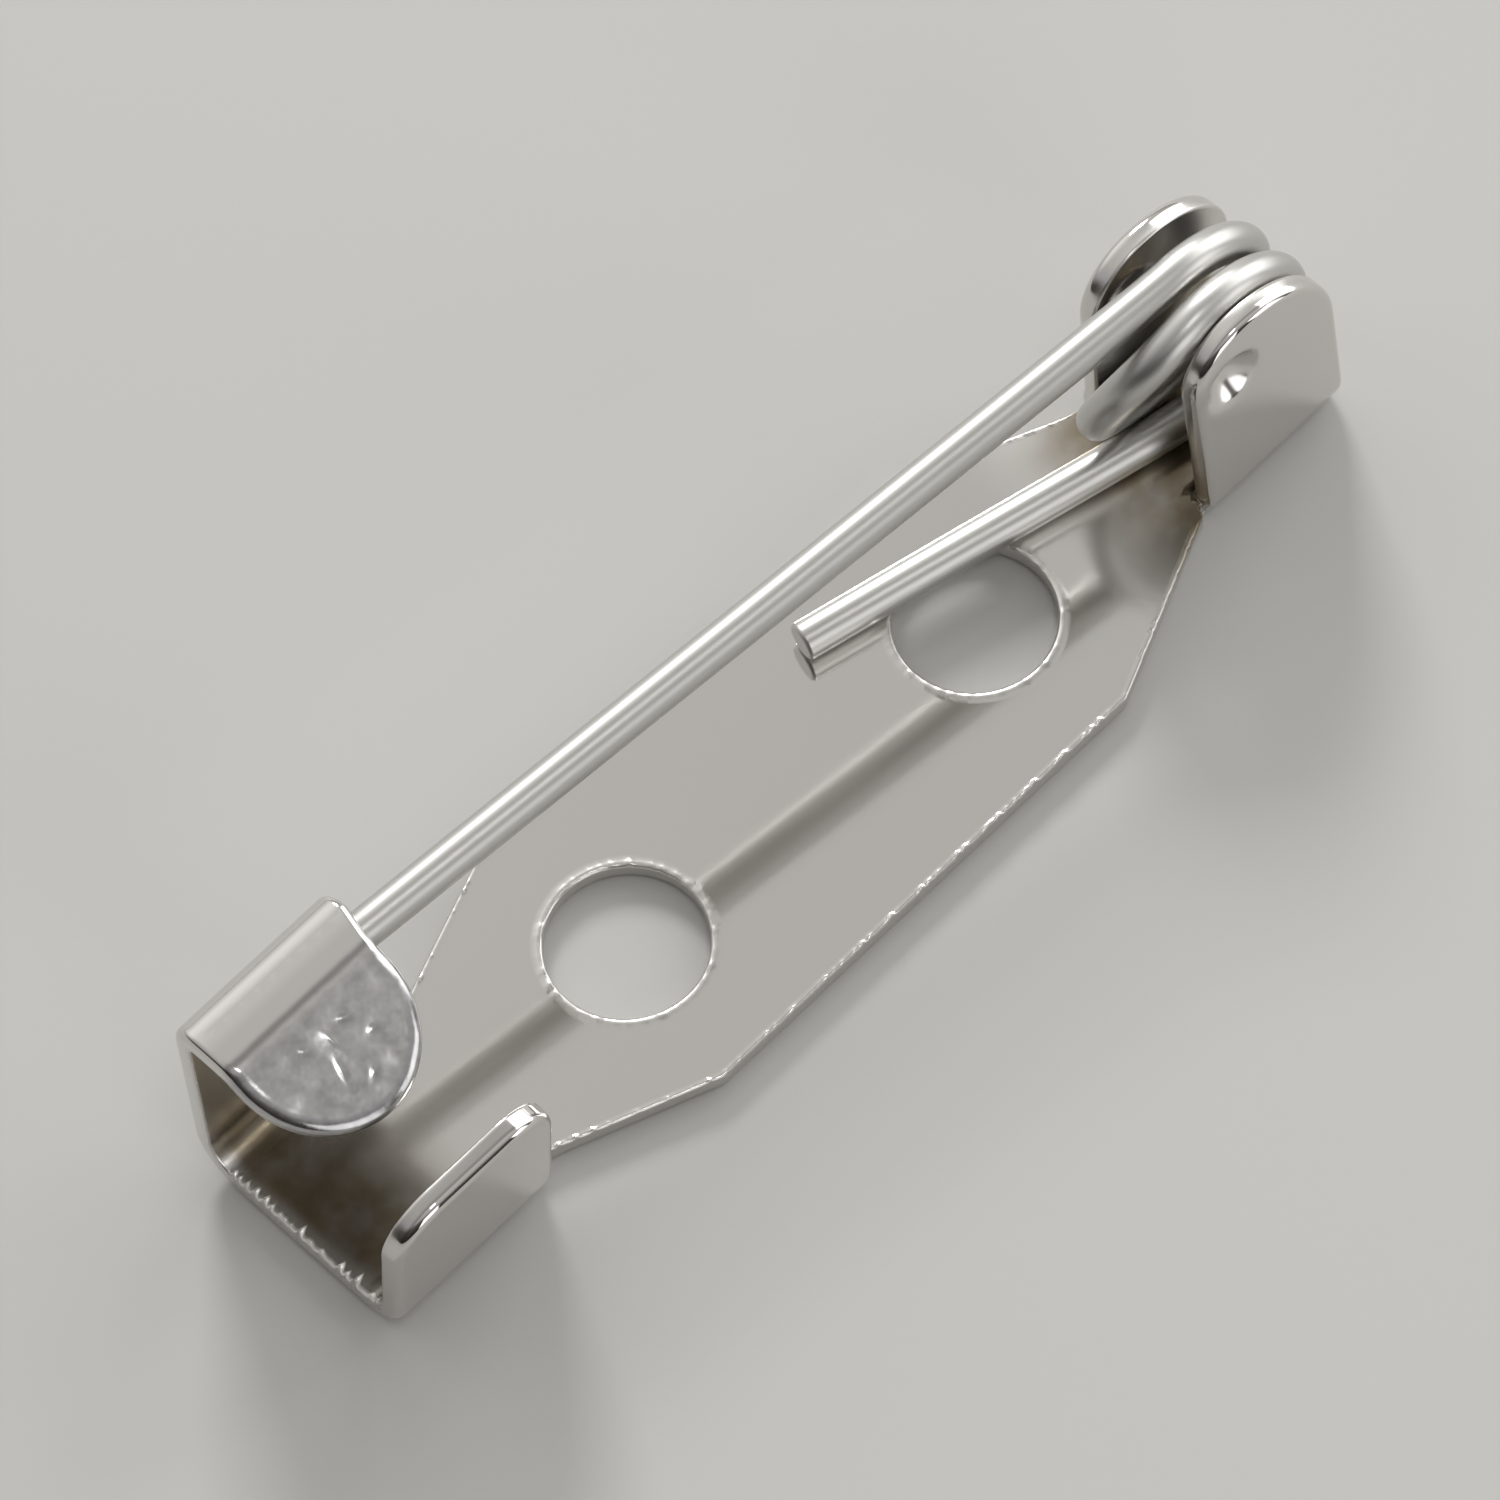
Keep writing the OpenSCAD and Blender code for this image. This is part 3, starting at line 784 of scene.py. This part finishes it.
def nickel_on_sheet():
    """Barrel-plated nickel: warm white, nearly mirror bright, hazy where it was struck."""
    material, tree = new_material("bright nickel on stamped sheet")
    place = node(tree, "ShaderNodeTexCoord").outputs["Object"]
    # The third value is the painted shade of the hook and the hinge
    marks, edge, shade_fac, rubbed = [
        node(tree, "ShaderNodeAttribute", {"attribute_name": name}).outputs["Fac"]
        for name in ("die_marks", "cut_edge", "painted_shade", "rubbed")]
    # Haze in patches about 2 mm wide, and blotches about 0.7 mm wide
    haze = node(tree, "ShaderNodeTexNoise", {"Scale": 500, "Detail": 3}, Vector=place)
    blotch = node(tree, "ShaderNodeTexNoise", {"Scale": 1500, "Detail": 4}, Vector=place)
    # Grain of the struck tongue, about 0.15 mm
    grain = node(tree, "ShaderNodeTexNoise", {"Scale": 6500, "Detail": 4}, Vector=place)
    # Marks of the tumbling, drawn 0.05 mm wide so that they show
    fine = node(tree, "ShaderNodeTexNoise", {"Scale": 20000, "Detail": 2}, Vector=place)

    # Roughness: a little haze everywhere, more where the metal was struck, torn or rubbed
    base_rough = node(tree, "ShaderNodeMapRange", {"To Min": 0.07, "To Max": 0.11},
                      Value=haze.outputs["Fac"])
    struck = node(tree, "ShaderNodeMapRange", {"To Min": 0.07, "To Max": 0.16},
                  Value=grain.outputs["Fac"])
    extra = node(tree, "ShaderNodeMath", {"operation": "MULTIPLY",
                                          0: struck.outputs["Result"], 1: marks})
    rough = node(tree, "ShaderNodeMath", {"operation": "ADD", 0: base_rough.outputs["Result"],
                                          1: extra.outputs["Value"]})
    torn_haze = node(tree, "ShaderNodeMath", {"operation": "MULTIPLY", 0: edge, 1: TORN_HAZE})
    rough_torn = node(tree, "ShaderNodeMath", {"operation": "ADD", 0: rough.outputs["Value"],
                                               1: torn_haze.outputs["Value"]})
    dull = node(tree, "ShaderNodeMath", {"operation": "MULTIPLY_ADD", 0: rubbed,
                                         1: RUBBED_HAZE, 2: rough_torn.outputs["Value"]})

    # Colour: the plate's tint, and the clouded grey of the struck tongue
    cloudy = node(tree, "ShaderNodeMix", {"data_type": "FLOAT", "Factor": 0.55},
                  A=grain.outputs["Fac"], B=blotch.outputs["Fac"])
    mottle = node(tree, "ShaderNodeValToRGB", Fac=cloudy.outputs["Result"])
    for stop, at, code in zip(mottle.color_ramp.elements, (0.35, 0.65), ("#a8a7a8", "#c2c1c1")):
        stop.position, stop.color = at, colour(code)
    tint = node(tree, "ShaderNodeMix", {"data_type": "RGBA", 0: marks,
                                        MIX_A: colour("#dad8d5"),
                                        MIX_B: mottle.outputs["Color"]})
    # Painted shade and reflection: brown patches darken the hook's channel and the hinge, where
    # the metal mirrors the dark sides of the walls and the coil
    blotches = node(tree, "ShaderNodeMapRange", {"From Min": 0.3, "From Max": 0.6,
                                                 "To Min": 0.6, "To Max": 1.0},
                    Value=blotch.outputs["Fac"])
    shade_amount = node(tree, "ShaderNodeMath", {"operation": "MULTIPLY", 0: shade_fac,
                                          1: blotches.outputs["Result"]})
    shaded = node(tree, "ShaderNodeMix", {"data_type": "RGBA", 0: shade_amount.outputs["Value"],
                                           MIX_A: tint.outputs[MIX_OUT],
                                           MIX_B: colour("#8f836e")})
    # Pits about 0.1 mm wide. Their cells are 3 mm apart in space, so a few at most show
    cells = node(tree, "ShaderNodeTexVoronoi", {"Scale": 330}, Vector=place)
    pit = node(tree, "ShaderNodeMapRange",
               {"From Min": 0.012, "From Max": 0.022, "To Min": 1.0, "To Max": 0.0},
               Value=cells.outputs["Distance"])
    pitted = node(tree, "ShaderNodeMix", {"data_type": "RGBA", 0: pit.outputs["Result"],
                                          MIX_A: shaded.outputs[MIX_OUT],
                                          MIX_B: colour("#8a857c")})

    # Relief of at most 0.02 mm: tumbling marks, the tongue's grain, and the torn edge
    grain_height = node(tree, "ShaderNodeMath", {"operation": "MULTIPLY",
                                                 0: grain.outputs["Fac"], 1: marks})
    edge_height = node(tree, "ShaderNodeMath", {"operation": "MULTIPLY",
                                                0: grain.outputs["Fac"], 1: edge})
    bump_fine = node(tree, "ShaderNodeBump", {"Strength": 0.05, "Distance": 0.000003},
                     Height=fine.outputs["Fac"])
    bump_grain = node(tree, "ShaderNodeBump", {"Strength": 0.12, "Distance": 0.00002},
                      Height=grain_height.outputs["Value"], Normal=bump_fine.outputs["Normal"])
    bump_edge = node(tree, "ShaderNodeBump", {"Strength": 0.3, "Distance": 0.00002},
                     Height=edge_height.outputs["Value"], Normal=bump_grain.outputs["Normal"])
    shader = node(tree, "ShaderNodeBsdfPrincipled", {"Metallic": 1.0},
                  Base_Color=pitted.outputs[MIX_OUT], Roughness=dull.outputs["Value"],
                  Normal=bump_edge.outputs["Normal"])
    node(tree, "ShaderNodeOutputMaterial", Surface=shader.outputs["BSDF"])
    return material


sheet_back.data.materials.append(nickel_on_sheet())

# %% Bright nickel on drawn wire
def nickel_on_wire():
    """Nickel over drawn spring wire: hazier than the sheet, with faint die lines along it."""
    material, tree = new_material("bright nickel on drawn wire")
    along_value, around_value = [
        node(tree, "ShaderNodeAttribute", {"attribute_name": name}).outputs["Fac"]
        for name in ("along", "around")]
    # The lines are stretched along the wire: each runs on for about 2.5 mm
    squeeze = node(tree, "ShaderNodeMath", {"operation": "MULTIPLY", 0: along_value, 1: 0.01})
    lines_at = node(tree, "ShaderNodeCombineXYZ", X=around_value, Y=squeeze.outputs["Value"])
    # About forty die lines round the wire
    lines = node(tree, "ShaderNodeTexNoise", {"Scale": 40, "Detail": 3},
                 Vector=lines_at.outputs["Vector"])
    place = node(tree, "ShaderNodeTexCoord").outputs["Object"]
    # Haze in patches about 0.8 mm wide
    haze = node(tree, "ShaderNodeTexNoise", {"Scale": 1200, "Detail": 3}, Vector=place)
    rough = node(tree, "ShaderNodeMapRange", {"To Min": 0.33, "To Max": 0.39},
                 Value=haze.outputs["Fac"])
    bump = node(tree, "ShaderNodeBump", {"Strength": 0.05, "Distance": 0.000006},
                Height=lines.outputs["Fac"])
    shader = node(tree, "ShaderNodeBsdfPrincipled",
                  {"Metallic": 1.0, "Base Color": colour("#c8c7c4")},
                  Roughness=rough.outputs["Result"], Normal=bump.outputs["Normal"])
    node(tree, "ShaderNodeOutputMaterial", Surface=shader.outputs["BSDF"])
    return material


pin.data.materials.append(nickel_on_wire())

# %% [markdown]
# A mirror-bright part shows its surroundings more than itself. The plate shows the camera an
# even part of the room and none of the lamps, so it looks flat and clean. Five soft lamps
# stand round it, where only the bends, the dimples, the dents and the wire show them to this
# camera. From some other sides the plate mirrors a lamp and turns white.

# %% Floor
FLOOR_HALF, FLOOR_DROP = 0.6, 0.00001
floor_mesh = bpy.data.meshes.new("floor")
floor_corners = [(i * FLOOR_HALF, j * FLOOR_HALF, -FLOOR_DROP)
                 for i, j in ((-1, -1), (1, -1), (1, 1), (-1, 1))]
floor_mesh.from_pydata(floor_corners, [], [(0, 1, 2, 3)])
floor = bpy.data.objects.new("floor", floor_mesh)
bpy.context.scene.collection.objects.link(floor)
floor_material, tree = new_material("pale card")
card = node(tree, "ShaderNodeBsdfPrincipled",
            {"Base Color": colour("#bfbebb"), "Roughness": 0.6})
node(tree, "ShaderNodeOutputMaterial", Surface=card.outputs["BSDF"])
floor.data.materials.append(floor_material)

# %% Camera
CAM_AZ, CAM_EL, CAM_ROLL = math.radians(-38.53), math.radians(63.0), math.radians(-7.58)
CAM_DIST_MM, CAM_TARGET = 200.01, Vector((-0.06 * MM, 1.01 * MM, 0))
# The photograph is 1500 pixels wide, and by the fit of the camera 69.68 of them are 1 mm
PHOTO_WIDE, PIXELS_PER_MM, SENSOR = 1500, 69.68, 36.0
back = Vector((math.sin(CAM_AZ) * math.cos(CAM_EL), -math.cos(CAM_AZ) * math.cos(CAM_EL),
               math.sin(CAM_EL)))
level = Vector((math.cos(CAM_AZ), math.sin(CAM_AZ), 0))
upward = back.cross(level)
right = math.cos(CAM_ROLL) * level + math.sin(CAM_ROLL) * upward
top = -math.sin(CAM_ROLL) * level + math.cos(CAM_ROLL) * upward
camera_data = bpy.data.cameras.new("camera")
camera_data.lens = SENSOR * (PIXELS_PER_MM * CAM_DIST_MM / PHOTO_WIDE)
camera_data.sensor_width = SENSOR
camera_data.sensor_fit = "HORIZONTAL"
camera_data.clip_start = 0.01
camera = bpy.data.objects.new("camera", camera_data)
turn = Matrix((right, top, back)).transposed().to_4x4()
camera.matrix_world = Matrix.Translation(CAM_TARGET + back * (CAM_DIST_MM * MM)) @ turn
bpy.context.scene.collection.objects.link(camera)
bpy.context.scene.camera = camera
print("camera lens", round(camera_data.lens, 1))

# %% Lights
LAMP_DISTANCE = 0.5


def soft_light(name, direction, size, power):
    """A square soft light that shines at the part from the given direction."""
    data = bpy.data.lights.new(name, "AREA")
    data.size = size
    data.energy = power
    lamp = bpy.data.objects.new(name, data)
    direction = Vector(direction).normalized()
    lamp.location = direction * LAMP_DISTANCE
    lamp.rotation_mode = "QUATERNION"
    lamp.rotation_quaternion = direction.to_track_quat("Z", "Y")
    bpy.context.scene.collection.objects.link(lamp)
    return lamp


soft_light("key", (0.48, 0.68, 0.55), 0.13, 1.2)
soft_light("side", (0.9, 0.02, 0.38), 0.42, 1.1)
soft_light("low", (-0.14, -0.92, 0.33), 0.3, 0.45)
soft_light("front", (0.62, -0.74, 0.25), 0.24, 0.35)
soft_light("marks", (0.0, -0.3, 0.95), 0.1, 0.16)

# %% Room
# The room is bright above and on the window's side, and darker on the other side and low down
world = bpy.data.worlds.new("room")
world.use_nodes = True
room = world.node_tree
room.nodes.clear()
seen = node(room, "ShaderNodeTexCoord").outputs["Generated"]


def towards(direction, low, high):
    """How far a view direction points towards the given one, from 0 at low to 1 at high."""
    dot = node(room, "ShaderNodeVectorMath", {"operation": "DOT_PRODUCT", 0: seen,
                                              1: direction})
    return node(room, "ShaderNodeMapRange", {"From Min": low, "From Max": high},
                Value=dot.outputs["Value"]).outputs["Result"]


fade = node(room, "ShaderNodeValToRGB", Fac=towards((0.35, 0.5, 0.79), -0.4, 1.0))
fade.color_ramp.interpolation = "EASE"
stops = [(0.0, "#393735"), (0.3, "#57534e"), (0.5, "#b4b3b4"), (0.75, "#c9c7c3"),
         (1.0, "#cbcac7")]
while len(fade.color_ramp.elements) < len(stops):
    fade.color_ramp.elements.new(0.5)
for stop, (at, code) in zip(fade.color_ramp.elements, stops):
    stop.position = at
    stop.color = colour(code)
window = node(room, "ShaderNodeMix", {"data_type": "RGBA", "blend_type": "ADD",
                                      0: towards((0, 0.9, 0.436), 0.7, 0.97),
                                      MIX_A: fade.outputs["Color"], MIX_B: colour("#acacac")})
# A dark gap between the two bright halves of the room draws the soft line along the crease
sideways = node(room, "ShaderNodeSeparateXYZ", Vector=seen)
away = node(room, "ShaderNodeMath", {"operation": "ABSOLUTE", 0: sideways.outputs["Y"]})
gap = node(room, "ShaderNodeMapRange", {"From Min": 0.06, "From Max": 0.24, "To Min": 0.55},
           Value=away.outputs["Value"])
low = node(room, "ShaderNodeMapRange", {"From Min": 0.0, "From Max": 0.45, "To Min": 0.6},
           Value=sideways.outputs["Z"])
strength = node(room, "ShaderNodeMath", {"operation": "MULTIPLY", 0: gap.outputs["Result"],
                                         1: low.outputs["Result"]})
sky = node(room, "ShaderNodeBackground", Strength=strength.outputs["Value"],
           Color=window.outputs[MIX_OUT])
node(room, "ShaderNodeOutputWorld", Surface=sky.outputs["Background"])
bpy.context.scene.view_settings.view_transform = "Standard"
bpy.context.scene.world = world
